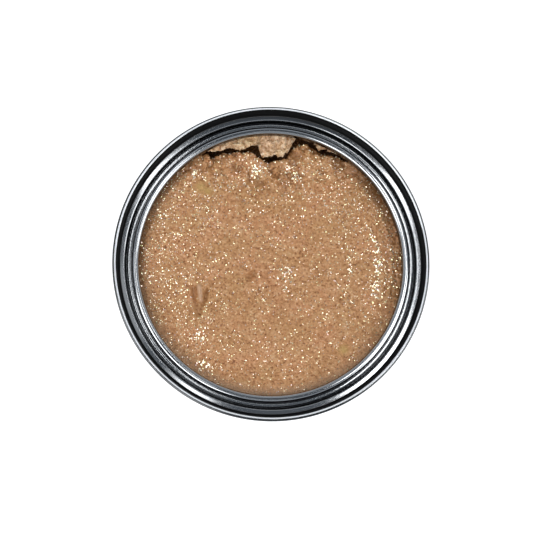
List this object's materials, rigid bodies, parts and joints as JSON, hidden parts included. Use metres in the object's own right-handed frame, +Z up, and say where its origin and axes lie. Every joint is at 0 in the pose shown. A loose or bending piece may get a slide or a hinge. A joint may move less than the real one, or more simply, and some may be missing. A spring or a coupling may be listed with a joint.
{
  "type": "shoe polish tin",
  "caption": "Open round lever-lid tin with a stepped friction ring for a plug lid and double-seamed ends, filled with worn wax polish that has left broken crumbs under its lip.",
  "frame": {"origin": "middle of the tin's foot, on the plane that the base seam stands on", "axes": "+Z up along the tin's axis to the open mouth, +Y towards the crumbs of old polish at the wall"},
  "size_m": [0.0873, 0.0872, 0.0445],
  "materials": {
    "body_tinplate": "plain bright tinplate, lightly scuffed",
    "end_tinplate": "plain bright tinplate with fine rolling grain",
    "wax_polish": "tan wax paste, grainy and lightly wiped"
  },
  "bodies": {
    "root": {"tin_body": "body_tinplate", "base_end": "end_tinplate", "friction_ring": "end_tinplate", "polish": "wax_polish", "crumb_west": "wax_polish", "crumb_middle": "wax_polish", "crumb_east": "wax_polish"}
  },
  "joints": []
}
